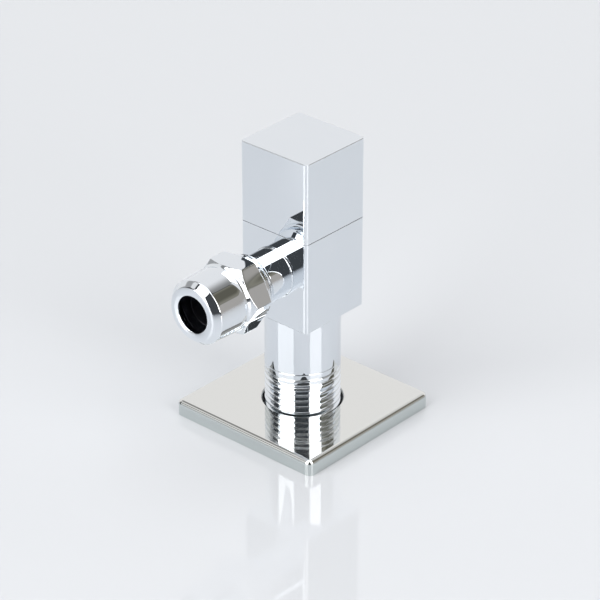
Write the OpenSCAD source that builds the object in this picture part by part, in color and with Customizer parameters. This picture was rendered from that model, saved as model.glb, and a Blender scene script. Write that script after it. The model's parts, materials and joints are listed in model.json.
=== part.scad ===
// Square angle stop valve with a loose wall plate and a compression outlet.
// +Z runs from the wall, through the tail and the body, to the handle. The outlet leaves along -Y.
// The origin is on the tail's axis, in the plane of the tail's end.

/* [Square body and handle] */
// Width of the body and of the handle
square_w = 23.3; // [23:0.1:24]
// Radius of the four upright edges
edge_r = 1.1; // [0.6:0.1:1.6]
// Radius of the body's lowest and the handle's highest edges
end_edge_r = 0.2; // [0.1:0.1:0.6]
// Radius of the edges on both sides of the gap between the body and the handle
seam_edge_r = 0.1; // [0.1:0.05:0.4]
// Height of the body's underside
body_low = 33; // [32:0.5:34]
// Height of the body's top face
body_top = 59.6; // [59:0.1:61]
// Gap between the body and the handle
handle_gap = 0.08; // [0.05:0.01:0.3]
// Height of the handle
handle_h = 23.3; // [23:0.1:26]
// Thickness of the handle's side walls
handle_wall = 1.6; // [1.2:0.1:1.7]
// Thickness of the handle's top
handle_roof = 2.4; // [1.6:0.1:2.4]

/* [Tail] */
// Crest radius of the tail's G1/2 thread, and radius of its plain part
tail_r = 10.4775; // [10.4:0.0025:10.5]
// Length of the threaded part
tail_thread_len = 16; // [12:0.5:22]
// Radius of the water way through the tail
tail_bore_r = 5.5; // [5:0.1:6.5]

/* [Outlet] */
// Drop from the body's top face to the outlet's axis
outlet_drop = 11.65; // [11.4:0.05:11.9]
// Radius of the plain neck
neck_r = 7; // [6.9:0.05:7.2]
// Distance from the valve's axis to the end of the plain neck
neck_end = 19.6; // [19:0.1:20]
// Crest radius of the outlet's G3/8 thread
outlet_thread_r = 8.331; // [8.3:0.001:8.36]
// Distance from the valve's axis to the end of the nipple
nipple_end = 33.5; // [33:0.1:33.9]

/* [Compression nut] */
// Distance from the valve's axis to the nut's back face
nut_back = 22.6; // [22.2:0.1:23]
// Distance from the valve's axis to the nut's front face
nut_front = 42.9; // [42.5:0.1:44]
// Width across the nut's flats
nut_flats = 19; // [18.9:0.05:19.1]
// Turn of the hexagon from a corner pointing sideways, in degrees
nut_angle = 1.6; // [0:0.2:59]
// Radius of the pipe bore
pipe_bore_r = 5.15; // [5.15:0.01:5.2]

/* [Wall plate] */
// Width of the wall plate
plate_w = 49.4; // [40:0.2:60]
// Outer radius of the plate's upright corners
plate_corner_r = 1.8; // [1.8:0.1:3]
// Outer radius of the bend round the plate's top
plate_bend_r = 1.3; // [1.1:0.1:1.8]
// Height of the wall plate
plate_h = 4.5; // [4:0.1:6]
// Thickness of the plate's sheet
plate_t = 0.8; // [0.6:0.1:1]
// Radius of the hole round the tail
plate_hole_r = 11.2; // [11.2:0.1:12]

/* [Hidden] */
$fn = 96;
bite = 1; // how far a cutter runs past the face that it opens
merge = 0.2; // how far joined shapes of one piece run into each other
close_play = 0.05; // gap round a piece that sits closely
loose_play = 0.1; // gap round a piece that stands clear
plate_hole_edge = 0.25; // chamfer on the edge of the plate's hole
handle_low = body_top + handle_gap;
handle_top = handle_low + handle_h;
outlet_z = body_top - outlet_drop;
face_y = square_w / 2;

// pipe threads: pitch and depth of G1/2 and G3/8, and of the nipple's own M12x1
half_pitch = 1.814;
half_depth = 1.162;
three_eighth_pitch = 1.337;
three_eighth_depth = 0.856;
nipple_pitch = 1;
nipple_depth = 0.6;
root_share = 0.16; // share of one pitch that is flat at the root
flank_share = 0.32; // share of one pitch that each flank takes
lead_in = 0.45; // chamfer at a thread's start
tail_run_out = 3; // rings over which the tail's thread grows to its full depth
no_run_out = 0.5; // every ring has the full depth
nipple_step = 0.4; // slope from the neck up to the outlet's thread

// water way inside the body
seat_z = body_top - 21;
seat_bore_r = 4.8;
seat_neck = 2.5; // length of the narrow bore under the seat
chamber_r = 7.475;
screw_bore_r = outlet_thread_r + 0.07;
screw_bore_low = body_top - 7;
bonnet_seal_seat = 1.6;
bonnet_seal_r = 8.1;
bonnet_seal_cord = 0.7;

// screwed-in outlet nipple, as distances from the valve's axis along the outlet
nipple_start = 7.9;
nipple_screw_r = 6;
nipple_seal_start = 10;
nipple_seat = nipple_seal_start + loose_play; // bottom of the body's bore for the seal
nipple_seal_r = 6.05;
nipple_seal_cord = 0.55;
collar_r = 7.2;
collar_t = 0.45;
nipple_water_r = 4;
pipe_stop = 24;
pipe_socket_r = pipe_bore_r - 0.05;
mouth_len = 2.3;
mouth_gain = 1.2; // how much wider the mouth is than the pipe socket
cone_slope = mouth_gain / mouth_len;

// olive and the inside of the nut
olive_gap = 0.115; // radial play between the olive and the two cones that squeeze it
olive_back = nipple_end - 1.6;
olive_front = nipple_end + 4.4;
olive_edge_r = pipe_socket_r + 0.25;
olive_belly_r = 6.45;
olive_belly_back = nipple_end + 0.5;
olive_belly_front = nipple_end + 2.1;
nut_thread_r = outlet_thread_r + 0.1;
nut_thread_end = nipple_end + 1.1;
nut_relief_r = 7;
nut_cone_end = olive_front + (olive_edge_r + olive_gap - pipe_bore_r) / cone_slope;
nut_cone_start = nut_cone_end - (nut_relief_r - pipe_bore_r) / cone_slope;

// outside of the nut, from its front face backwards
nut_face_r = 7.5;
nut_nose_chamfer = 1.7;
nut_nose_r = 9.05;
nut_nose_back_r = 9.4;
nut_hex_front = 11.1;
nut_corner_front = 13.1;
nut_corner_back = 18.4;
nut_hex_back = 19;
nut_rim_r = 9.35;
nut_rim_edge = 0.3;
nut_corner_r = hex_corner(nut_flats);

// headwork levels
disc_r = 5.9;
cage_bore_r = disc_r + loose_play;
cage_r = 6.9;
cage_low = seat_z + 0.4;
seat_seal_h = 1.9;
fixed_disc_low = seat_z + seat_seal_h;
disc_t = 2.5;
disc_gap = 0.02;
moving_disc_low = fixed_disc_low + disc_t + disc_gap;
moving_disc_top = moving_disc_low + disc_t;
drive_slot_w = 4;
drive_slot_deep = 1.2;
port_in_r = 1.4;
port_out_r = 4.9;
port_angle = 84;
wing_angle = 96;
wing_hub_r = 2.4;
window_w = 8.4;
window_low = seat_z + 4.9;
window_top = seat_z + 11.7;
stem_flange_low = seat_z + 12.1;
stem_flange_t = 1.6;
washer_t = 0.6;
cage_top = stem_flange_low + stem_flange_t + washer_t + close_play;
bonnet_screw_low = screw_bore_low + 0.4;
bonnet_screw_top = body_top - bonnet_seal_seat - loose_play;
bonnet_flange_r = 9.25;
bonnet_flange_t = 1.4;
bonnet_hex_flats = 16;
bonnet_hex_h = 3.5;
bonnet_hex_top = body_top + bonnet_flange_t + bonnet_hex_h;
bonnet_neck_r = 6.6;
bonnet_top = bonnet_hex_top + 2;
stop_r = 8.2;
stop_low = bonnet_hex_top - 0.5;
stop_top = bonnet_top - 0.2;
stop_lug_angle = 30;
stop_play = 2; // free angle past each end of the turn, in degrees
turn_range = 90;

// stem
stem_r = 4.85;
stem_bore_r = 4.9;
stem_drive_clear = 0.05;
seal_groove_r = 3.95;
seal_groove_w = 1.1;
seal_cord = 0.45;
seal_ring_r = 4.42;
lower_seal_z = cage_top + 3;
upper_seal_z = cage_top + 8;
spline_low = bonnet_top + 0.1;
spline_crest_r = 4;
spline_root_r = 3.65;
spline_teeth = 20;
spline_play = 0.08;
stop_washer_low = bonnet_top + 0.2;
stop_washer_t = 1.2;
stop_washer_r = 6.3;
clip_low = stop_washer_low + stop_washer_t + 0.2;
clip_t = 0.7;
clip_in_r = 3.45;
clip_out_r = 5.4;
clip_groove_r = 3.4;
clip_mouth = 70;

// boss inside the handle
cavity_w = square_w - 2 * handle_wall;
cavity_edge_r = 0.6;
cavity_top = handle_top - handle_roof;
boss_low = clip_low + clip_t + 0.7;
boss_r = 7.4;
insert_r = 5.45;
insert_bore_top = cavity_top - 1.1;
insert_low = boss_low + loose_play;
insert_top = insert_bore_top - loose_play;
stem_top = insert_top - 0.8;
grub_z = boss_low + 4.5;
grub_r = 1.95;
grub_tip = spline_crest_r + 0.15;
grub_sink = 1.2; // depth of the screw's end below the handle's face
grub_len = face_y - grub_sink - grub_tip;
grub_socket_flats = 2;
grub_socket_deep = 2.2;
rib_w = 6.4;

// ---- shared shapes ----

// Points of a grooved thread profile that ends below the level top. Its last rings are shallower.
function thread_profile(crest, depth, pitch, top, count, run_out) = [
    for (i = [count:-1:1])
        let (root = crest - depth * min(1, (i - 0.5) / run_out))
            each [
                [crest, top - i * pitch],
                [root, top - (i - flank_share) * pitch],
                [root, top - (i - flank_share - root_share) * pitch],
                [crest, top - (i - 2 * flank_share - root_share) * pitch]
            ]
];

// Radius of the corners of a hexagon, from its width across flats
function hex_corner(flats) = flats / 2 / cos(30);

// Points of a splined shaft's section, made wider by play
function spline_profile(play) = [
    for (i = [0:spline_teeth - 1], p = [[0, 0], [0.3, 1], [0.5, 1], [0.8, 0]])
        let (
            angle = (i + p[0]) * 360 / spline_teeth,
            r = play + spline_root_r + p[1] * (spline_crest_r - spline_root_r)
        ) r * [cos(angle), sin(angle)]
];

module rounded_rect(w, h, r) {
    square([w - 2 * r, h], center = true);
    square([w, h - 2 * r], center = true);
    for (x = [-1, 1], y = [-1, 1])
        translate([x * (w / 2 - r), y * (h / 2 - r)]) circle(r);
}

// Side view of a block that stands on the X axis, with one radius below and one above
module side_view(w, h, low_r, high_r) {
    intersection() {
        translate([0, h / 2 + bite]) rounded_rect(w, h + 2 * bite, low_r);
        translate([0, h / 2 - bite]) rounded_rect(w, h + 2 * bite, high_r);
    }
}

// What two crossing bars share, each with the same side view and the length w
module crossed(w) {
    intersection() {
        rotate([90, 0, 0]) linear_extrude(w + 2 * bite, center = true) children();
        rotate([90, 0, 90]) linear_extrude(w + 2 * bite, center = true) children();
    }
}

// A square block that stands on the origin, with rounded upright, lowest and highest edges
module soft_block(w, h, upright_r, low_r, high_r) {
    intersection() {
        linear_extrude(h) rounded_rect(w, w, upright_r);
        crossed(w) side_view(w, h, low_r, high_r);
    }
}

// A wedge of the plane, centred on the X axis
module wedge(r, angle) {
    far = 2 * r;
    half = angle / 2;
    polygon([[0, 0], far * [cos(half), -sin(half)], [far, 0], far * [cos(half), sin(half)]]);
}

module ring(outer_r, inner_r, h) {
    linear_extrude(h)
        difference() {
            circle(outer_r);
            circle(inner_r);
        }
}

module seal_ring(r, cord) {
    rotate_extrude() translate([r, 0]) circle(cord, $fn = 32);
}

// Turns a shape that stands on +Z into one that leaves along the outlet
module along_outlet() {
    translate([0, 0, outlet_z]) rotate([90, 0, 0]) children();
}

// ---- body ----

module valve_body() {
    color("gainsboro")
        difference() {
            union() {
                translate([0, 0, body_low])
                    soft_block(square_w, body_top - body_low, edge_r, end_edge_r, seam_edge_r);
                tail();
            }
            translate([0, 0, -bite]) cylinder(r = tail_bore_r, h = seat_z - seat_neck + bite);
            cylinder(r = seat_bore_r, h = seat_z + bite);
            translate([0, 0, seat_z]) cylinder(r = chamber_r, h = body_top - seat_z);
            translate([0, 0, screw_bore_low])
                cylinder(r = screw_bore_r, h = body_top - screw_bore_low + bite);
            translate([0, 0, body_top - bonnet_seal_seat])
                cylinder(r = bonnet_seal_r + bonnet_seal_cord + loose_play, h = bonnet_seal_seat + bite);
            along_outlet() cylinder(r = nipple_screw_r + close_play, h = face_y + bite);
            along_outlet() translate([0, 0, nipple_seat])
                cylinder(r = nipple_seal_r + nipple_seal_cord + close_play, h = face_y);
        }
}

module tail() {
    rings = floor((tail_thread_len - 2 * lead_in) / half_pitch);
    rotate_extrude()
        polygon(concat(
            [[0, 0], [tail_r - lead_in, 0], [tail_r, lead_in]],
            thread_profile(tail_r, half_depth, half_pitch, tail_thread_len, rings, tail_run_out),
            [[tail_r, body_low + bite], [0, body_low + bite]]
        ));
}

module outlet_nipple() {
    thread_start = neck_end + nipple_step;
    chamfer_start = nipple_end - 2 * lead_in;
    rings = floor((chamfer_start - thread_start) / three_eighth_pitch);
    color("silver")
        along_outlet()
            difference() {
                rotate_extrude()
                    polygon(concat(
                        [[0, nipple_start], [nipple_screw_r - nipple_depth, nipple_start]],
                        thread_profile(nipple_screw_r, nipple_depth, nipple_pitch, nipple_seal_start, 2,
                            no_run_out),
                        [
                            [nipple_screw_r, nipple_seal_start],
                            [nipple_seal_r - nipple_seal_cord, nipple_seal_start],
                            [nipple_seal_r - nipple_seal_cord, face_y],
                            [collar_r, face_y],
                            [collar_r, face_y + collar_t],
                            [neck_r, face_y + collar_t],
                            [neck_r, neck_end]
                        ],
                        thread_profile(outlet_thread_r, three_eighth_depth, three_eighth_pitch,
                            thread_start + rings * three_eighth_pitch, rings, no_run_out),
                        [
                            [outlet_thread_r, chamfer_start],
                            [outlet_thread_r - 2 * lead_in, nipple_end],
                            [0, nipple_end]
                        ]
                    ));
                translate([0, 0, nipple_start - bite]) cylinder(r = nipple_water_r, h = nipple_end);
                translate([0, 0, pipe_stop]) cylinder(r = pipe_socket_r, h = nipple_end);
                translate([0, 0, nipple_end - mouth_len])
                    cylinder(r1 = pipe_socket_r, r2 = pipe_socket_r + 2 * mouth_gain, h = 2 * mouth_len);
            }
}

module nipple_seal() {
    color("dimgray")
        along_outlet()
            translate([0, 0, (nipple_seat + face_y) / 2]) seal_ring(nipple_seal_r, nipple_seal_cord);
}

// ---- compression joint ----

module compression_nut() {
    color("lightgray")
        along_outlet()
            difference() {
                union() {
                    nut_round_outside();
                    intersection() {
                        translate([0, 0, nut_back])
                            linear_extrude(nut_front - nut_back)
                                rotate(nut_angle) circle(nut_corner_r, $fn = 6);
                        nut_hex_limits();
                    }
                }
                translate([0, 0, nut_back - bite])
                    cylinder(r = nut_thread_r, h = nut_thread_end - nut_back + bite);
                rotate_extrude()
                    polygon([
                        [0, nut_back],
                        [nut_relief_r, nut_back],
                        [nut_relief_r, nut_cone_start],
                        [pipe_bore_r, nut_cone_end],
                        [pipe_bore_r, nut_front + bite],
                        [0, nut_front + bite]
                    ]);
            }
}

module nut_round_outside() {
    rotate_extrude()
        polygon([
            [0, nut_back],
            [nut_rim_r - nut_rim_edge, nut_back],
            [nut_rim_r, nut_back + nut_rim_edge],
            [nut_rim_r, nut_front - nut_hex_back],
            [nut_nose_back_r, nut_front - nut_hex_front],
            [nut_nose_r, nut_front - nut_nose_chamfer],
            [nut_face_r, nut_front],
            [0, nut_front]
        ]);
}

module nut_hex_limits() {
    flat_r = nut_flats / 2;
    trim_r = nut_corner_r + 0.01; // just outside the hexagon's corners
    rotate_extrude()
        polygon([
            [0, nut_front - nut_hex_back],
            [flat_r, nut_front - nut_hex_back],
            [trim_r, nut_front - nut_corner_back],
            [trim_r, nut_front - nut_corner_front],
            [flat_r, nut_front - nut_hex_front],
            [0, nut_front - nut_hex_front]
        ]);
}

module olive() {
    color("goldenrod")
        along_outlet()
            rotate_extrude()
                polygon([
                    [pipe_socket_r, olive_back],
                    [olive_edge_r, olive_back],
                    [olive_belly_r, olive_belly_back],
                    [olive_belly_r, olive_belly_front],
                    [olive_edge_r, olive_front],
                    [pipe_socket_r, olive_front]
                ]);
}

// ---- headwork, fixed pieces ----

module cartridge_bonnet() {
    color("darkgoldenrod")
        difference() {
            union() {
                bonnet_round_outside();
                translate([0, 0, body_top + bonnet_flange_t])
                    linear_extrude(bonnet_hex_h) circle(hex_corner(bonnet_hex_flats), $fn = 6);
                bonnet_stop();
            }
            translate([0, 0, cage_low - bite]) cylinder(r = cage_bore_r, h = cage_top - cage_low + bite);
            translate([0, 0, cage_low]) cylinder(r = stem_bore_r, h = bonnet_top);
            translate([-window_w / 2, -chamber_r, window_low])
                cube([window_w, 2 * chamber_r, window_top - window_low]);
        }
}

module bonnet_round_outside() {
    rings = floor((bonnet_screw_top - bonnet_screw_low) / three_eighth_pitch);
    groove_r = bonnet_seal_r - bonnet_seal_cord;
    rotate_extrude()
        polygon(concat(
            [
                [0, cage_low],
                [cage_r, cage_low],
                [cage_r, bonnet_screw_low],
                [outlet_thread_r - three_eighth_depth, bonnet_screw_low]
            ],
            thread_profile(outlet_thread_r, three_eighth_depth, three_eighth_pitch, bonnet_screw_top, rings,
                no_run_out),
            [
                [outlet_thread_r, bonnet_screw_top],
                [groove_r, bonnet_screw_top],
                [groove_r, body_top],
                [bonnet_flange_r, body_top],
                [bonnet_flange_r, body_top + bonnet_flange_t],
                [bonnet_neck_r, body_top + bonnet_flange_t],
                [bonnet_neck_r, bonnet_top],
                [0, bonnet_top]
            ]
        ));
}

// Raised shoulder on the hexagon that leaves room only for the stop washer's lug
module bonnet_stop() {
    free_angle = turn_range + stop_lug_angle + 2 * stop_play;
    translate([0, 0, stop_low])
        linear_extrude(stop_top - stop_low)
            difference() {
                circle(stop_r);
                circle(bonnet_neck_r - merge);
                rotate(turn_range / 2) wedge(stop_r, free_angle);
            }
}

module bonnet_seal() {
    color("dimgray")
        translate([0, 0, body_top - bonnet_seal_seat / 2]) seal_ring(bonnet_seal_r, bonnet_seal_cord);
}

module seat_seal() {
    color("black")
        translate([0, 0, seat_z]) ring(disc_r, seat_bore_r, seat_seal_h);
}

module fixed_disc() {
    color("whitesmoke")
        translate([0, 0, fixed_disc_low])
            linear_extrude(disc_t)
                difference() {
                    circle(disc_r);
                    for (side = [0, 180])
                        rotate(side) disc_port();
                }
}

module disc_port() {
    difference() {
        intersection() {
            circle(port_out_r);
            wedge(port_out_r, port_angle);
        }
        circle(port_in_r);
    }
}

// ---- headwork, turning pieces ----

module moving_disc() {
    color("white")
        translate([0, 0, moving_disc_low])
            difference() {
                linear_extrude(disc_t) {
                    circle(wing_hub_r);
                    for (side = [0, 180])
                        rotate(side)
                            intersection() {
                                circle(disc_r);
                                wedge(disc_r, wing_angle);
                            }
                }
                translate([-disc_r - bite, -drive_slot_w / 2, disc_t - drive_slot_deep])
                    cube([2 * (disc_r + bite), drive_slot_w, disc_t]);
            }
}

module stem() {
    bar_low = moving_disc_top - drive_slot_deep + stem_drive_clear;
    bar_w = drive_slot_w - 2 * stem_drive_clear;
    bar_h = stem_flange_low - bar_low + merge;
    color("goldenrod") {
        translate([0, 0, bar_low])
            intersection() {
                cylinder(r = disc_r - loose_play, h = bar_h);
                translate([-disc_r, -bar_w / 2, 0]) cube([2 * disc_r, bar_w, bar_h]);
            }
        stem_shaft();
        difference() {
            translate([0, 0, spline_low - merge])
                linear_extrude(stem_top - spline_low + merge) polygon(spline_profile(0));
            translate([0, 0, clip_low - loose_play])
                ring(spline_crest_r + bite, clip_groove_r, clip_t + 2 * loose_play);
        }
    }
}

module stem_shaft() {
    half_groove = seal_groove_w / 2;
    rotate_extrude()
        polygon([
            [0, stem_flange_low],
            [disc_r, stem_flange_low],
            [disc_r, stem_flange_low + stem_flange_t],
            [stem_r, stem_flange_low + stem_flange_t],
            [stem_r, lower_seal_z - half_groove],
            [seal_groove_r, lower_seal_z - half_groove],
            [seal_groove_r, lower_seal_z + half_groove],
            [stem_r, lower_seal_z + half_groove],
            [stem_r, upper_seal_z - half_groove],
            [seal_groove_r, upper_seal_z - half_groove],
            [seal_groove_r, upper_seal_z + half_groove],
            [stem_r, upper_seal_z + half_groove],
            [stem_r, spline_low],
            [0, spline_low]
        ]);
}

module lower_stem_seal() {
    color("dimgray") translate([0, 0, lower_seal_z]) seal_ring(seal_ring_r, seal_cord);
}

module upper_stem_seal() {
    color("dimgray") translate([0, 0, upper_seal_z]) seal_ring(seal_ring_r, seal_cord);
}

module thrust_washer() {
    color("ivory")
        translate([0, 0, stem_flange_low + stem_flange_t]) ring(disc_r, stem_r + close_play, washer_t);
}

module stop_washer() {
    arm_inner_r = spline_crest_r + 1;
    lug_inner_r = bonnet_neck_r + 0.3;
    lug_outer_r = stop_r - loose_play;
    lug_drop = bonnet_top - bonnet_hex_top - 0.4;
    color("khaki")
        difference() {
            union() {
                translate([0, 0, stop_washer_low]) cylinder(r = stop_washer_r, h = stop_washer_t);
                translate([0, 0, stop_washer_low])
                    linear_extrude(stop_washer_t) stop_lug(arm_inner_r, lug_outer_r);
                translate([0, 0, stop_washer_low - lug_drop])
                    linear_extrude(lug_drop + stop_washer_t) stop_lug(lug_inner_r, lug_outer_r);
            }
            translate([0, 0, stop_washer_low - bite])
                linear_extrude(stop_washer_t + 2 * bite) polygon(spline_profile(spline_play));
        }
}

module stop_lug(inner_r, outer_r) {
    intersection() {
        difference() {
            circle(outer_r);
            circle(inner_r);
        }
        wedge(outer_r, stop_lug_angle);
    }
}

module retaining_clip() {
    color("gray")
        translate([0, 0, clip_low])
            linear_extrude(clip_t)
                difference() {
                    circle(clip_out_r);
                    circle(clip_in_r);
                    rotate(180) wedge(clip_out_r, clip_mouth);
                }
}

// ---- handle ----

module handle() {
    cavity_h = cavity_top - handle_low;
    boss_h = cavity_top - boss_low;
    rib_start = insert_r + 0.5;
    color("gainsboro")
        difference() {
            union() {
                difference() {
                    translate([0, 0, handle_low])
                        soft_block(square_w, handle_h, edge_r, seam_edge_r, end_edge_r);
                    translate([0, 0, handle_low - bite])
                        linear_extrude(cavity_h + bite) rounded_rect(cavity_w, cavity_w, cavity_edge_r);
                }
                translate([0, 0, boss_low]) cylinder(r = boss_r, h = boss_h + merge);
                translate([-rib_w / 2, rib_start, boss_low])
                    cube([rib_w, face_y - handle_wall / 2 - rib_start, boss_h + merge]);
            }
            translate([0, 0, boss_low - bite])
                cylinder(r = insert_r + close_play, h = insert_bore_top - boss_low + bite);
            grub_bore(grub_r + close_play, face_y + bite);
        }
}

module spline_insert() {
    color("ivory")
        difference() {
            translate([0, 0, insert_low]) cylinder(r = insert_r, h = insert_top - insert_low);
            translate([0, 0, insert_low - bite])
                linear_extrude(insert_top - insert_low + 2 * bite) polygon(spline_profile(spline_play));
            grub_bore(grub_r + loose_play, insert_r + bite);
        }
}

// Bore for the handle's screw, from the valve's axis outwards
module grub_bore(r, reach) {
    translate([0, 0, grub_z]) rotate([-90, 0, 0]) cylinder(r = r, h = reach);
}

module handle_screw() {
    color("slategray")
        translate([0, grub_tip, grub_z])
            rotate([-90, 0, 0])
                difference() {
                    cylinder(r = grub_r, h = grub_len);
                    translate([0, 0, grub_len - grub_socket_deep])
                        cylinder(r = hex_corner(grub_socket_flats), h = grub_socket_deep + bite, $fn = 6);
                }
}

// ---- wall plate ----

// Side view of a plate's block: upright sides, and rounded where they meet the top
module bent_side(w, low, top, bend_r) {
    translate([-w / 2, low]) square([w, top - bend_r - low]);
    translate([bend_r - w / 2, low]) square([w - 2 * bend_r, top - low]);
    for (x = [-1, 1]) translate([x * (w / 2 - bend_r), top - bend_r]) circle(bend_r);
}

// A round post with a rounded upper edge, which is one corner of a plate's block
module plate_corner(low, top, corner_r, bend_r) {
    rotate_extrude()
        intersection() {
            bent_side(2 * corner_r, low, top, bend_r);
            translate([0, low]) square([corner_r, top - low]);
        }
}

// A square block from one level to another, with rounded upright and upper edges
module plate_block(w, low, top, corner_r, bend_r) {
    straight = w - 2 * corner_r;
    for (turn = [0, 90])
        rotate([90, 0, turn]) linear_extrude(straight, center = true) bent_side(w, low, top, bend_r);
    for (x = [-1, 1], y = [-1, 1])
        translate([x * straight / 2, y * straight / 2, 0]) plate_corner(low, top, corner_r, bend_r);
}

module escutcheon() {
    hole_cutter_h = 2 * plate_hole_edge; // half of it stands above the plate
    color("silver")
        difference() {
            plate_block(plate_w, 0, plate_h, plate_corner_r, plate_bend_r);
            plate_block(plate_w - 2 * plate_t, -bite, plate_h - plate_t, plate_corner_r - plate_t,
                plate_bend_r - plate_t);
            translate([0, 0, -bite]) cylinder(r = plate_hole_r, h = plate_h + 2 * bite);
            translate([0, 0, plate_h - plate_hole_edge])
                cylinder(r1 = plate_hole_r, r2 = plate_hole_r + hole_cutter_h, h = hole_cutter_h);
        }
}

valve_body();
outlet_nipple();
nipple_seal();
compression_nut();
olive();
cartridge_bonnet();
bonnet_seal();
seat_seal();
fixed_disc();
moving_disc();
stem();
lower_stem_seal();
upper_stem_seal();
thrust_washer();
stop_washer();
retaining_clip();
handle();
spline_insert();
handle_screw();
escutcheon();
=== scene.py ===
"""Looks of a square angle stop valve: helical threads, a rounded nut, finishes, floor, light and camera.

Lengths are in millimetres until a mesh is made. The outlet's own frame has X along +X, Y along +Z
and its length, measured from the valve's axis, along -Y.
"""

import json
from math import cos, pi, radians, sin, tan

import bmesh
import bpy
import numpy as np
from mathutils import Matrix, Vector


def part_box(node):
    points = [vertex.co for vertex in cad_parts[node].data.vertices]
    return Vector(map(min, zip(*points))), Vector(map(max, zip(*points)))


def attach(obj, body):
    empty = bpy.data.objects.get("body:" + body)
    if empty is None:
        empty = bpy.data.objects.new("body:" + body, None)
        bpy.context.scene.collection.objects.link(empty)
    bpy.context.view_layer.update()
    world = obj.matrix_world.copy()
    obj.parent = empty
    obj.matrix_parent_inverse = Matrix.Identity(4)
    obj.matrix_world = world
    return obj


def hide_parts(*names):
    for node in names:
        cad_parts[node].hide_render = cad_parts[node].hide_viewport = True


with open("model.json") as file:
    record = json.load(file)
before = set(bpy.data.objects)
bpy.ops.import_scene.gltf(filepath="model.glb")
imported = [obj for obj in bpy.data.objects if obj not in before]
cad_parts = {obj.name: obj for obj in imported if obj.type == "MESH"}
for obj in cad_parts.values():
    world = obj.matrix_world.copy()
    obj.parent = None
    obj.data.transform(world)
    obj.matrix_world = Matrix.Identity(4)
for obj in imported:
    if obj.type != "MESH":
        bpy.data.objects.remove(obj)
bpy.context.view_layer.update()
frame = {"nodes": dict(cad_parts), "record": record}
nodes = frame["nodes"]
mounts = {mount["name"]: mount for mount in frame["record"]["mounts"]}

MM = 0.001


def in_mm(node):
    low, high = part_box(node)
    return low / MM, high / MM


# ---- sizes from the frame ----

nipple_low, nipple_high = in_mm("outlet_nipple")
nut_low, nut_high = in_mm("compression_nut")

BODY_FACE = in_mm("valve_body")[1].y
OUTLET_Z = mounts["outlet_pipe_bore"]["pos_m"][2] / MM
TAIL_R = mounts["inlet_thread"]["dims"]["r_mm"]
PIPE_BORE_R = mounts["outlet_pipe_bore"]["dims"]["r_mm"]
NIPPLE_START = -nipple_high.y
NIPPLE_END = -nipple_low.y
NUT_BACK = -nut_high.y
NUT_FRONT = -nut_low.y

# ---- sizes of the pieces made here ----

HALF_PITCH = 1.814
THREE_EIGHTH_PITCH = 1.337
THREE_EIGHTH_R = 8.331
NIPPLE_PITCH = 1.0

TAIL_BORE_R = 5.5
TAIL_BORE_EDGE = 0.5
TAIL_END_BEVEL = 1.0
TAIL_THREAD_TOP = 17.7
TAIL_RUN_OUT = [(11.2, 1.16), (14.6, 0.16), (TAIL_THREAD_TOP, 0.0)]  # height, depth of the thread
TAIL_CUT = 19.0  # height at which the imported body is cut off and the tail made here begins

NECK_R = 7.0
COLLAR_R = 7.2
COLLAR_T = 0.45
NECK_END = 19.6
NIPPLE_SCREW_R = 6.0
NIPPLE_SCREW_END = 10.0
NIPPLE_GROOVE_R = 5.5
NIPPLE_WATER_R = 4.0
PIPE_STOP = 24.0
PIPE_SOCKET_R = PIPE_BORE_R - 0.05
MOUTH_LEN = 2.3
MOUTH_GAIN = 1.2

NUT_FLATS = 19.0
NUT_ANGLE = 1.6  # degrees
NUT_FACE_R = 7.5
NUT_THREAD_PLAY = 0.1
NUT_THREAD_LEAD = 0.1
NUT_THREAD_END = NIPPLE_END + 1.1
NUT_RELIEF_R = 7.0
NUT_CONE = (39.4, 42.2)  # where the cone over the olive starts and ends
NUT_EDGE = 0.12
NUT_MOUTH = [(0.35, 0.0), (0.12, 0.1), (0.0, 0.3)]  # back from the front face, wider than the pipe bore
# Rows of the nut's outside: from, to, how many, back from the front face
NUT_ROWS = [
    (0.03, 1.2, 5), (1.3, 2.1, 9), (2.4, 10.6, 12), (10.8, 13.8, 31), (14, 17.8, 10), (17.9, 19.4, 19),
    (19.5, NUT_FRONT - NUT_BACK, 9),
]

# A 55 degree thread with a rounded root and a truncated crest, in pitches
THREAD_FLANK = radians(27.5)  # from the plane across the axis
THREAD_DEPTH = 0.640327
THREAD_CUT = 0.160082  # height of the sharp crest that is cut off
ROOT_ARC = 0.137329
CREST_BLEND = 0.03

# In metres
MESH_WELD = 2e-7
PACKED_WELD = 1e-6
CUT_SNAP = 1e-7


# ---- turned surfaces ----

def smooth_max(a, b, blend):
    return (a + b + np.sqrt((a - b) ** 2 + blend**2)) / 2


def smooth_min(a, b, blend):
    return (a + b - np.sqrt((a - b) ** 2 + blend**2)) / 2


def thread_drop(phase):
    """Depth below the crest, in pitches. Phase 0 is the middle of a crest."""
    from_crest = np.abs((phase + 0.5) % 1 - 0.5)
    from_root = 0.5 - from_crest
    flank = smooth_max(from_crest / tan(THREAD_FLANK) - THREAD_CUT, 0, CREST_BLEND)
    root = THREAD_DEPTH - ROOT_ARC + np.sqrt(np.maximum(ROOT_ARC**2 - from_root**2, 0))
    return np.where(from_root < ROOT_ARC * cos(THREAD_FLANK), root, flank)


def thread_phases():
    """Where one pitch is sampled: close together at the crest's two shoulders and round the root."""
    shoulder = THREAD_CUT * tan(THREAD_FLANK)
    half_crest = shoulder + np.array([-0.045, -0.025, -0.012, 0, 0.012, 0.025, 0.045])
    crest = np.concatenate([-half_crest[::-1], half_crest])
    root = 0.5 + ROOT_ARC * np.sin((pi / 2 - THREAD_FLANK) * np.linspace(-1, 1, 7))
    down = np.linspace(crest[-1], root[0], 4)[1:-1]
    return np.concatenate([crest, down, root, 1 - down[::-1]])


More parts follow.
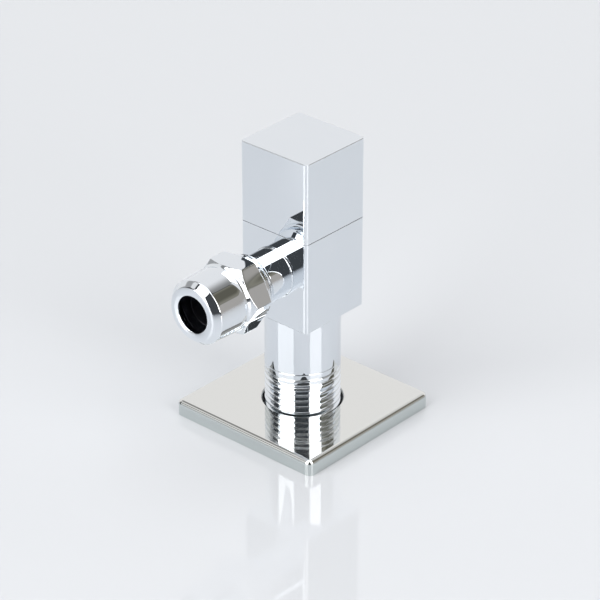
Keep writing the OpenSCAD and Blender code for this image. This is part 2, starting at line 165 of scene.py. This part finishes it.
class Turned:
    """A closed surface round an axis. Its rows run round the axis, and each point of a row has its own
    distance along the axis and its own radius."""

    def __init__(self, turns):
        self.turns = turns
        self.along, self.radius, self.seam, self.inside = [], [], [], []
        self.in_bore = False  # whether the rows being added are inside a bore, where their faces get the painted bore shade

    def row(self, along, radius):
        self.seam.append(len(self.along))
        self.inside.append(self.in_bore)
        self.along.append(np.full(len(self.turns), float(along)))
        self.radius.append(np.broadcast_to(radius, self.turns.shape).astype(float))

    def rows(self, *points):
        for along, radius in points:
            self.row(along, radius)

    def screw(self, start, end, pitch, radius_at):
        """Rows that follow a right-handed thread from start to end, so that no crest is stepped."""
        step = 1 if end > start else -1
        low, high = min(start, end), max(start, end)
        first = int(np.floor(low / pitch - self.turns[-1])) - 1
        last = int(np.ceil(high / pitch - self.turns[0])) + 1
        levels = (np.arange(first, last + 1)[:, None] + thread_phases()[None, :]).ravel()
        per_turn = len(thread_phases())
        offset = len(self.along)
        for i, level in enumerate(levels[::step]):
            along = np.clip(pitch * (level + self.turns), low, high)
            self.seam.append(offset + min(max(i + step * per_turn, 0), len(levels) - 1))
            self.inside.append(self.in_bore)
            self.along.append(along)
            self.radius.append(radius_at(along, thread_drop(along / pitch - self.turns) * pitch))

    def to_bmesh(self, place, close=True):
        along, radius = np.array(self.along), np.array(self.radius)
        angle = 2 * pi * self.turns[None, :]
        points = place(radius * np.cos(angle), radius * np.sin(angle), along) * MM
        made = bmesh.new()
        verts = [[made.verts.new(p) for p in row] for row in points]
        count, columns = len(verts), len(self.turns)
        for i in range(count if close else count - 1):
            k = (i + 1) % count
            around = [(verts[i][j], verts[i][j + 1], verts[k][j + 1], verts[k][j])
                      for j in range(columns - 1)]
            if self.seam[i] != self.seam[k]:
                around.append((verts[i][-1], verts[self.seam[i]][0], verts[self.seam[k]][0], verts[k][-1]))
            for corners in around:
                # Faces between two rows inside a bore take the second material, the painted bore shade.
                made.faces.new(corners).material_index = int(self.inside[i] and self.inside[k])
        bmesh.ops.remove_doubles(made, verts=made.verts, dist=MESH_WELD)
        return made


def upright(x, y, along):
    return np.stack([x, y, along], axis=-1)


def outward(x, y, along):
    return np.stack([x, -along, OUTLET_Z + y], axis=-1)


def even_turns(columns):
    return np.arange(columns) / columns


def as_piece(made, name, body, node, sharp_angle=32):
    """Turns a bmesh into a smooth piece that rides on a body and stands for a node."""
    bmesh.ops.recalc_face_normals(made, faces=made.faces)
    for face in made.faces:
        face.smooth = True
    mesh = bpy.data.meshes.new(name)
    made.to_mesh(mesh)
    made.free()
    mesh.set_sharp_from_angle(angle=radians(sharp_angle))
    piece = bpy.data.objects.new(name, mesh)
    bpy.context.scene.collection.objects.link(piece)
    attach(piece, body)
    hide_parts(node)
    return piece


# ---- valve body with its threaded tail ----

PACKED_NORMAL = "packed_normal"


def tail_surface():
    """The tail below the cut: bore, end face and thread. The thread grows shallow at its top."""
    tail = Turned(even_turns(176))
    run_out_blend = 0.02
    bore_top, tube_top = TAIL_CUT - 1, TAIL_CUT - 0.9  # body_shell bridges from here to the cut

    def radius_at(z, drop):
        deep = np.interp(z, *zip(*TAIL_RUN_OUT))
        cut = smooth_min(TAIL_R - drop + THREAD_DEPTH * HALF_PITCH - deep, TAIL_R, run_out_blend)
        return np.minimum(cut, TAIL_R - TAIL_END_BEVEL + z)

    tail.rows((bore_top, TAIL_BORE_R), (TAIL_BORE_EDGE, TAIL_BORE_R), (0, TAIL_BORE_R + TAIL_BORE_EDGE))
    tail.screw(0, TAIL_THREAD_TOP, HALF_PITCH, radius_at)
    tail.row(tube_top, TAIL_R)
    return tail.to_bmesh(upright, close=False)


def keep_normals(made, mesh):
    """Stores a mesh's normals on the corners of the bmesh just made from it."""
    layer = made.loops.layers.float_vector.new(PACKED_NORMAL)
    for polygon, face in zip(mesh.polygons, made.faces):
        for index, corner in zip(polygon.loop_indices, face.loops):
            corner[layer] = mesh.corner_normals[index].vector


def restore_normals(mesh):
    """Uses the stored normals where there are any, and the mesh's own normals elsewhere."""
    stored = mesh.attributes[PACKED_NORMAL]
    kept = np.zeros(3 * len(mesh.loops))
    own = np.zeros_like(kept)
    stored.data.foreach_get("vector", kept)
    mesh.corner_normals.foreach_get("vector", own)
    kept, own = kept.reshape(-1, 3), own.reshape(-1, 3)
    is_kept = np.linalg.norm(kept, axis=1, keepdims=True) > 0.5
    mesh.attributes.remove(stored)
    mesh.normals_split_custom_set(np.where(is_kept, kept, own))


def body_shell():
    """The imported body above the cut, with the tail's surface joined on below it."""
    made = bmesh.new()
    made.from_mesh(nodes["valve_body"].data)
    keep_normals(made, nodes["valve_body"].data)
    bmesh.ops.remove_doubles(made, verts=made.verts, dist=PACKED_WELD)
    bmesh.ops.bisect_plane(made, geom=[*made.verts, *made.edges, *made.faces], dist=CUT_SNAP,
                           plane_co=(0, 0, TAIL_CUT * MM), plane_no=(0, 0, 1), clear_inner=True)
    tail = tail_surface()
    below = bpy.data.meshes.new("tail")
    tail.to_mesh(below)
    tail.free()
    made.from_mesh(below)
    bpy.data.meshes.remove(below)
    same_wall = 0.5  # how far an open edge may be from the wall's radius
    for radius in (TAIL_R, TAIL_BORE_R):
        edges = [edge for edge in made.edges if edge.is_boundary
                 and abs(edge.verts[0].co.xy.length / MM - radius) < same_wall]
        bmesh.ops.bridge_loops(made, edges=edges)
    piece = as_piece(made, "body_shell", "valve", "valve_body")
    restore_normals(piece.data)
    return piece


# ---- outlet nipple ----

def threaded_nipple():
    nipple = Turned(even_turns(144))
    neck_steepness, end_bevel = 1.4, 0.9
    screw_bevel, screw_lead = 0.6, 0.1
    soft = 0.06  # rounding of the collar's edges

    def outlet_radius(along, drop):
        start_slope = NECK_R + (along - NECK_END) * neck_steepness
        end_slope = THREE_EIGHTH_R - end_bevel + (NIPPLE_END - along)
        return np.minimum(THREE_EIGHTH_R - drop, np.minimum(start_slope, end_slope))

    def screw_radius(along, drop):
        return NIPPLE_SCREW_R - drop

    nipple.in_bore = True
    nipple.row(NIPPLE_START, NIPPLE_WATER_R)
    nipple.in_bore = False
    nipple.row(NIPPLE_START, NIPPLE_SCREW_R - screw_bevel)
    nipple.screw(NIPPLE_START + screw_lead, NIPPLE_SCREW_END, NIPPLE_PITCH, screw_radius)
    collar_end = BODY_FACE + COLLAR_T
    nipple.rows(
        (NIPPLE_SCREW_END, NIPPLE_GROOVE_R), (BODY_FACE, NIPPLE_GROOVE_R),
        (BODY_FACE, COLLAR_R - soft), (BODY_FACE + soft, COLLAR_R),
        (collar_end - 2 * soft, COLLAR_R), (collar_end - soft, COLLAR_R - 0.4 * soft),
        (collar_end, COLLAR_R - 2 * soft), (collar_end, NECK_R + soft), (collar_end + soft, NECK_R),
    )
    nipple.screw(NECK_END, NIPPLE_END, THREE_EIGHTH_PITCH, outlet_radius)
    nipple.in_bore = True
    nipple.rows(
        (NIPPLE_END, PIPE_SOCKET_R + MOUTH_GAIN), (NIPPLE_END - MOUTH_LEN, PIPE_SOCKET_R),
        (PIPE_STOP, PIPE_SOCKET_R), (PIPE_STOP, NIPPLE_WATER_R),
    )
    made = nipple.to_bmesh(outward)
    return as_piece(made, "threaded_nipple", "valve", "outlet_nipple")


# ---- compression nut ----

def nut_radius(back, angle):
    """Outside radius of the nut, at a distance back from its front face."""
    chamfer, nose_r, nose_slope = 1.7, 9.05, 0.0372
    waist, waist_depth, waist_len = 11.2, 0.3, 0.9
    hex_front, hex_back, rim_r, rim_edge = 12.2, 19.0, 9.35, 0.3
    front_rise, front_rise_behind, back_rise = 0.5, 1.6, 2.45  # slopes of the hexagon's chamfers
    corner_r, corner_blend = NUT_FLATS / 2 / cos(pi / 6), 0.05
    depth = NUT_FRONT - NUT_BACK
    bevel = NUT_FACE_R + back * (nose_r - NUT_FACE_R) / chamfer
    nose = nose_r + (back - chamfer) * nose_slope
    nose = nose - waist_depth * np.exp(-((back - waist) / waist_len) ** 2)
    rim = np.minimum(rim_r, rim_r - rim_edge + (depth - back))
    nose = np.where(back < hex_back - rim_edge, nose, np.minimum(nose, rim))
    round_r = smooth_min(bevel, nose, NUT_EDGE)
    hexagon = NUT_FLATS / 2 / np.cos((angle - radians(NUT_ANGLE)) % (pi / 3) - pi / 6)
    hexagon = smooth_min(hexagon, corner_r, corner_blend)
    front_slope = NUT_FLATS / 2 + (back - hex_front) * (front_rise if back < hex_front else front_rise_behind)
    back_slope = NUT_FLATS / 2 + (hex_back - back) * back_rise
    limits = smooth_min(front_slope, back_slope, NUT_EDGE)
    return smooth_max(round_r, smooth_min(hexagon, limits, NUT_EDGE), NUT_EDGE)


def nut_turns(columns_per_flat=40, bunching=0.11):
    """Columns bunched at the hexagon's corners."""
    u = np.arange(columns_per_flat) / columns_per_flat
    warped = u - bunching * np.sin(2 * pi * u)
    return np.concatenate([(flat + warped) / 6 for flat in range(6)]) + NUT_ANGLE / 360


def hex_nut():
    nut = Turned(nut_turns())
    angle = 2 * pi * nut.turns
    cone_start, cone_end = NUT_CONE
    crest_r = THREE_EIGHTH_R + NUT_THREAD_PLAY
    face_edge = 0.05

    def thread_radius(along, drop):
        return crest_r - drop

    nut.row(NUT_FRONT, NUT_FACE_R - face_edge)
    for start, end, count in NUT_ROWS:
        for back in np.linspace(start, end, count):
            nut.row(NUT_FRONT - back, nut_radius(back, angle))
    nut.in_bore = True
    nut.row(NUT_BACK, crest_r + NUT_THREAD_LEAD)
    nut.screw(NUT_BACK + NUT_THREAD_LEAD, NUT_THREAD_END, THREE_EIGHTH_PITCH, thread_radius)
    nut.rows((NUT_THREAD_END, NUT_RELIEF_R), (cone_start, NUT_RELIEF_R), (cone_end, PIPE_BORE_R))
    for back, wider in NUT_MOUTH:
        nut.row(NUT_FRONT - back, PIPE_BORE_R + wider)
        nut.in_bore = False
    return as_piece(nut.to_bmesh(outward), "hex_nut", "nut", "compression_nut")


# ---- finishes ----

class Tree:
    """A shader's node tree, with short names for what materials and the world share."""

    def __init__(self, owner):
        owner.use_nodes = True
        self.tree = owner.node_tree

    def node(self, kind, **values):
        made = self.tree.nodes.new(kind)
        for key, value in values.items():
            setattr(made, key, value)
        return made

    def link(self, source, target):
        self.tree.links.new(source, target)

    def math(self, operation, first, second=None):
        made = self.node("ShaderNodeMath", operation=operation)
        self.link(first, made.inputs[0])
        if second is not None:
            self.link(second, made.inputs[1])
        return made.outputs["Value"]

    def spread(self, source, low, high, start=0.35, end=0.65, **values):
        """Maps start to end onto low to high."""
        made = self.node("ShaderNodeMapRange", **values)
        for key, value in (("From Min", start), ("From Max", end), ("To Min", low), ("To Max", high)):
            made.inputs[key].default_value = value
        self.link(source, made.inputs["Value"])
        return made.outputs["Result"]


class Finish(Tree):
    """A material round one Principled shader."""

    def __init__(self, name, metallic=0.0):
        self.material = bpy.data.materials.new(name)
        super().__init__(self.material)
        self.shader = self.tree.nodes["Principled BSDF"]
        self.shader.inputs["Metallic"].default_value = metallic
        self.place = self.node("ShaderNodeTexCoord").outputs["Object"]

    def noise(self, scale, detail=3.0, stretch=(1, 1, 1)):
        """Noise with a number of lumps per metre."""
        mapping = self.node("ShaderNodeMapping")
        mapping.inputs["Scale"].default_value = stretch
        self.link(self.place, mapping.inputs["Vector"])
        made = self.node("ShaderNodeTexNoise")
        made.inputs["Scale"].default_value = scale
        made.inputs["Detail"].default_value = detail
        self.link(mapping.outputs["Vector"], made.inputs["Vector"])
        return made.outputs["Fac"]

    def tint(self, source, one, other):
        """Base colour that drifts between two colours."""
        ramp = self.node("ShaderNodeValToRGB")
        for stop, colour, position in zip(ramp.color_ramp.elements, (one, other), (0.35, 0.65)):
            stop.color = (*colour, 1)
            stop.position = position
        self.link(source, ramp.inputs["Fac"])
        self.link(ramp.outputs["Color"], self.shader.inputs["Base Color"])

    def roughness(self, source, low, high):
        self.link(self.spread(source, low, high), self.shader.inputs["Roughness"])

    def bump(self, source, height):
        """Relief of a height in millimetres."""
        made = self.node("ShaderNodeBump")
        made.inputs["Strength"].default_value = 1.0
        made.inputs["Distance"].default_value = height * MM
        self.link(source, made.inputs["Height"])
        self.link(made.outputs["Normal"], self.shader.inputs["Normal"])


def chrome():
    made = Finish("bright_chrome", metallic=1.0)
    made.tint(made.noise(90, 2), (0.815, 0.852, 0.892), (0.825, 0.86, 0.898))
    made.roughness(made.noise(260, 4), 0.012, 0.035)
    made.bump(made.noise(900, 2), 0.0002)
    return made.material


# Painted shade: a near-black finish that stands in for the shade inside bores, put on the faces inside bores
# and on the olive.
def painted_bore_shade():
    made = Finish("painted_bore_shade", metallic=0.6)
    made.tint(made.noise(400, 3), (0.020, 0.020, 0.026), (0.034, 0.033, 0.040))
    made.roughness(made.noise(900, 3), 0.3, 0.5)
    made.bump(made.noise(2500, 2, (0.2, 4, 0.2)), 0.006)
    return made.material


PLATE_CUT_R = 11.42  # the plate's surface is matt inside this radius, where its hole was cut
PLATE_CUT_FADE = 0.04
PLATE_CUT_ROUGHNESS = 0.55


def plate_steel():
    made = Finish("polished_plate_steel", metallic=1.0)
    facing_up_painted_shade = made.node("ShaderNodeSeparateXYZ")
    made.link(made.node("ShaderNodeTexCoord").outputs["Normal"], facing_up_painted_shade.inputs["Vector"])
    # Painted shade: faces that turn away from up get a darker, cooler colour than the top; the top's light
    # warm tone is the steel's own.
    made.tint(facing_up_painted_shade.outputs["Z"], (0.645, 0.685, 0.68), (0.80, 0.804, 0.783))
    polish = made.spread(made.noise(500, 4), 0.04, 0.085)
    level = made.node("ShaderNodeVectorMath", operation="MULTIPLY")
    level.inputs[1].default_value = (1, 1, 0)
    made.link(made.place, level.inputs[0])
    from_axis = made.node("ShaderNodeVectorMath", operation="LENGTH")
    made.link(level.outputs["Vector"], from_axis.inputs[0])
    cut = made.spread(from_axis.outputs["Value"], PLATE_CUT_ROUGHNESS, 0,
                      PLATE_CUT_R * MM, (PLATE_CUT_R + PLATE_CUT_FADE) * MM)
    made.link(made.math("MAXIMUM", polish, cut), made.shader.inputs["Roughness"])
    made.bump(made.noise(700, 3), 0.0006)
    return made.material


def machined_brass():
    made = Finish("machined_brass", metallic=1.0)
    made.tint(made.noise(300, 3), (0.68, 0.47, 0.20), (0.78, 0.57, 0.28))
    made.roughness(made.noise(800, 4), 0.16, 0.32)
    made.bump(made.noise(2500, 2, (0.2, 0.2, 4)), 0.006)
    return made.material


def seal_rubber():
    made = Finish("seal_rubber")
    made.tint(made.noise(1500, 3), (0.018, 0.018, 0.02), (0.035, 0.035, 0.037))
    made.roughness(made.noise(1200, 3), 0.42, 0.6)
    made.bump(made.noise(4000, 2), 0.01)
    return made.material


def disc_ceramic():
    made = Finish("disc_ceramic")
    made.tint(made.noise(900, 4), (0.80, 0.79, 0.75), (0.88, 0.875, 0.85))
    made.roughness(made.noise(1500, 3), 0.12, 0.28)
    made.bump(made.noise(5000, 2), 0.002)
    return made.material


def moulded_plastic():
    made = Finish("moulded_plastic")
    made.tint(made.noise(500, 3), (0.74, 0.73, 0.68), (0.82, 0.81, 0.77))
    made.roughness(made.noise(1600, 3), 0.3, 0.45)
    made.bump(made.noise(3500, 2), 0.006)
    return made.material


def plain_steel():
    made = Finish("plain_steel", metallic=1.0)
    made.tint(made.noise(700, 3), (0.42, 0.43, 0.45), (0.55, 0.56, 0.57))
    made.roughness(made.noise(1500, 4), 0.2, 0.38)
    made.bump(made.noise(3000, 3), 0.004)
    return made.material


# ---- floor, light and camera ----

CAMERA_AZIMUTH = radians(41.722)
CAMERA_ELEVATION = radians(28.927)
CAMERA_DISTANCE = 754.12
CAMERA_LENS = 167.3
CAMERA_AIM = (-0.722, 34.62)  # to the right of the valve's axis, and up

FLOOR_R = 6  # metres
FLOOR_DROP = 0.02

BACK_COLOUR = (0.895, 0.89, 0.895)
BEYOND_THE_FLOOR = (0.82, 0.85, 0.88)  # what the camera itself sees where the floor ends

# Studio surroundings seen from the object: azimuth from the camera's side, positive to its right,
# then elevation, both in degrees, then colour, brightness and the widths of the soft edges, sideways
# and upward. Later ones cover earlier ones.
PANELS = [
    ("left_back", (-155, -92), (-2, 52), (1.0, 1.0, 1.0), 0.86, 12, 12),
    ("right_top", (60, 135), (47, 66), (1.0, 0.99, 0.97), 0.25, 50, 5),
    ("zenith", (-180, 180), (59, 91), (0.97, 0.98, 1.0), 1.8, 4, 4),
    ("back_gap_left", (-181, -112), (45, 57), (1.0, 1.0, 1.0), 0.26, 10, 4),
    ("front", (-104, 110), (-2, 59), (0.9, 0.95, 1.0), 0.07, 3, 3),
    ("front_top", (-60, 60), (57, 82), (1.0, 1.0, 1.0), 1.25, 8, 4),
    ("left_wall", (-120, -104), (-2, 45), (1.0, 1.0, 1.0), 0.38, 4, 4),
    ("left_wall_top", (-120, -92), (45, 54), (1.0, 1.0, 1.0), 0.65, 4, 4),
    ("left_box", (-79, -27), (2, 66), (1.0, 0.99, 0.97), 3.6, 2, 2),
    ("left_high", (-104, -88), (36, 50), (1.0, 1.0, 1.0), 0.85, 3, 4),
    ("left_strip", (-83.5, -77), (15, 27), (1.0, 1.0, 1.0), 1.1, 1, 2),
    ("left_foot", (-83.5, -70), (-2, 15), (1.0, 1.0, 1.0), 0.55, 1, 3),
    ("right_box", (22, 58), (6, 60), (1.0, 0.97, 0.95), 3.6, 2, 2),
    ("right_wall", (60, 112), (-2, 20), (1.0, 0.94, 0.88), 0.43, 2, 2),
    ("right_flag", (62, 108), (20, 50), (1.0, 0.95, 0.78), 0.25, 4, 4),
    ("right_flag_middle", (74, 106), (26, 48), (1.0, 0.95, 0.75), 0.12, 10, 10),
]


def camera_axes():
    back = Vector((sin(CAMERA_AZIMUTH) * cos(CAMERA_ELEVATION),
                   -cos(CAMERA_AZIMUTH) * cos(CAMERA_ELEVATION), sin(CAMERA_ELEVATION)))
    right = Vector((cos(CAMERA_AZIMUTH), sin(CAMERA_AZIMUTH), 0))
    return back, right


def add_camera():
    back, right = camera_axes()
    data = bpy.data.cameras.new("camera")
    data.sensor_width = 36
    data.lens = CAMERA_LENS
    data.clip_end = 20
    camera = bpy.data.objects.new("camera", data)
    bpy.context.scene.collection.objects.link(camera)
    aim = right * CAMERA_AIM[0] + Vector((0, 0, CAMERA_AIM[1]))
    camera.location = (aim + back * CAMERA_DISTANCE) * MM
    camera.rotation_mode = "QUATERNION"
    camera.rotation_quaternion = (-back).to_track_quat("-Z", "Y")
    bpy.context.scene.camera = camera


def add_floor():
    made = bmesh.new()
    bmesh.ops.create_circle(made, cap_ends=True, radius=FLOOR_R, segments=128)
    mesh = bpy.data.meshes.new("floor")
    made.to_mesh(mesh)
    made.free()
    floor = bpy.data.objects.new("floor", mesh)
    floor.location.z = -FLOOR_DROP * MM
    bpy.context.scene.collection.objects.link(floor)
    finish = Finish("pale_floor")  # painted light: its colour grows a little lighter towards the camera's side
    towards = finish.node("ShaderNodeMapping")
    towards.inputs["Rotation"].default_value.z = pi / 2 - CAMERA_AZIMUTH
    towards.inputs["Location"].default_value.x = 0.5
    finish.link(finish.place, towards.inputs["Vector"])
    painted_light_slope = finish.node("ShaderNodeTexGradient")
    finish.link(towards.outputs["Vector"], painted_light_slope.inputs["Vector"])
    finish.tint(painted_light_slope.outputs["Fac"], (0.575, 0.595, 0.622), (0.635, 0.655, 0.685))
    finish.roughness(finish.noise(3, 2), 0.02, 0.05)
    floor.data.materials.append(finish.material)


class Sky(Tree):
    """World shader made of panels in azimuth and elevation."""

    def __init__(self):
        world = bpy.data.worlds.new("studio")
        bpy.context.scene.world = world
        super().__init__(world)

    def directions(self):
        """Azimuth from the camera's side and elevation, in degrees."""
        back, right = camera_axes()
        level = Vector((back.x, back.y, 0)).normalized()
        place = self.node("ShaderNodeTexCoord").outputs["Generated"]
        parts = []
        for axis in (level, right, Vector((0, 0, 1))):
            dot = self.node("ShaderNodeVectorMath", operation="DOT_PRODUCT")
            self.link(place, dot.inputs[0])
            dot.inputs[1].default_value = axis
            parts.append(dot.outputs["Value"])
        azimuth = self.math("ARCTAN2", parts[1], parts[0])
        elevation = self.math("ARCSINE", parts[2])
        return self.math("DEGREES", azimuth), self.math("DEGREES", elevation)

    def between(self, value, limits, edge_width):
        """One inside the limits, zero outside, with a soft edge."""
        low, high = limits
        parts = []
        for edge, half in ((low, edge_width / 2), (high, -edge_width / 2)):
            parts.append(self.spread(value, 0, 1, edge - half, edge + half, interpolation_type="SMOOTHSTEP"))
        return self.math("MULTIPLY", *parts)

    def cover(self, under, mask, colour):
        """Lays a colour over what is under it, where the mask is one."""
        mix = self.node("ShaderNodeMix", data_type="RGBA")
        lower, upper = mix.inputs[6:8]  # the two colour sockets
        self.link(mask, mix.inputs["Factor"])
        if isinstance(under, tuple):
            lower.default_value = (*under, 1)
        else:
            self.link(under, lower)
        upper.default_value = (*colour, 1)
        return mix.outputs[2]

    def build(self):
        azimuth, elevation = self.directions()
        colour = BACK_COLOUR
        for _, sideways, upward, tone, brightness, side_edge, level_edge in PANELS:
            mask = self.between(elevation, upward, level_edge)
            if sideways != (-180, 180):
                mask = self.math("MULTIPLY", mask, self.between(azimuth, sideways, side_edge))
            colour = self.cover(colour, mask, tuple(brightness * c for c in tone))
        seen = self.node("ShaderNodeLightPath").outputs["Is Camera Ray"]
        colour = self.cover(colour, seen, BEYOND_THE_FLOOR)
        self.link(colour, self.tree.nodes["Background"].inputs["Color"])


# ---- the whole scene ----

FINISHES = {
    "chrome": chrome, "plate_steel": plate_steel, "brass": machined_brass, "rubber": seal_rubber,
    "ceramic": disc_ceramic, "plastic": moulded_plastic, "steel": plain_steel,
}

add_camera()
made_pieces = [body_shell(), threaded_nipple(), hex_nut()]
painted_shade = painted_bore_shade()
made_finishes = {slot: make() for slot, make in FINISHES.items()}
for piece in made_pieces:
    piece.data.materials.clear()
    piece.data.materials.append(made_finishes["chrome"])
    piece.data.materials.append(painted_shade)  # second, the painted shade for the faces inside a bore
for node in nodes.values():
    for place in node.material_slots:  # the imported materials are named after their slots
        place.material = made_finishes[place.material.name.split(".")[0]]
# Painted shade: the brass olive gets the near-black bore finish, for the shade inside the nut.
nodes["olive"].material_slots[0].material = painted_shade
add_floor()
Sky().build()
bpy.context.scene.view_settings.view_transform = "Standard"
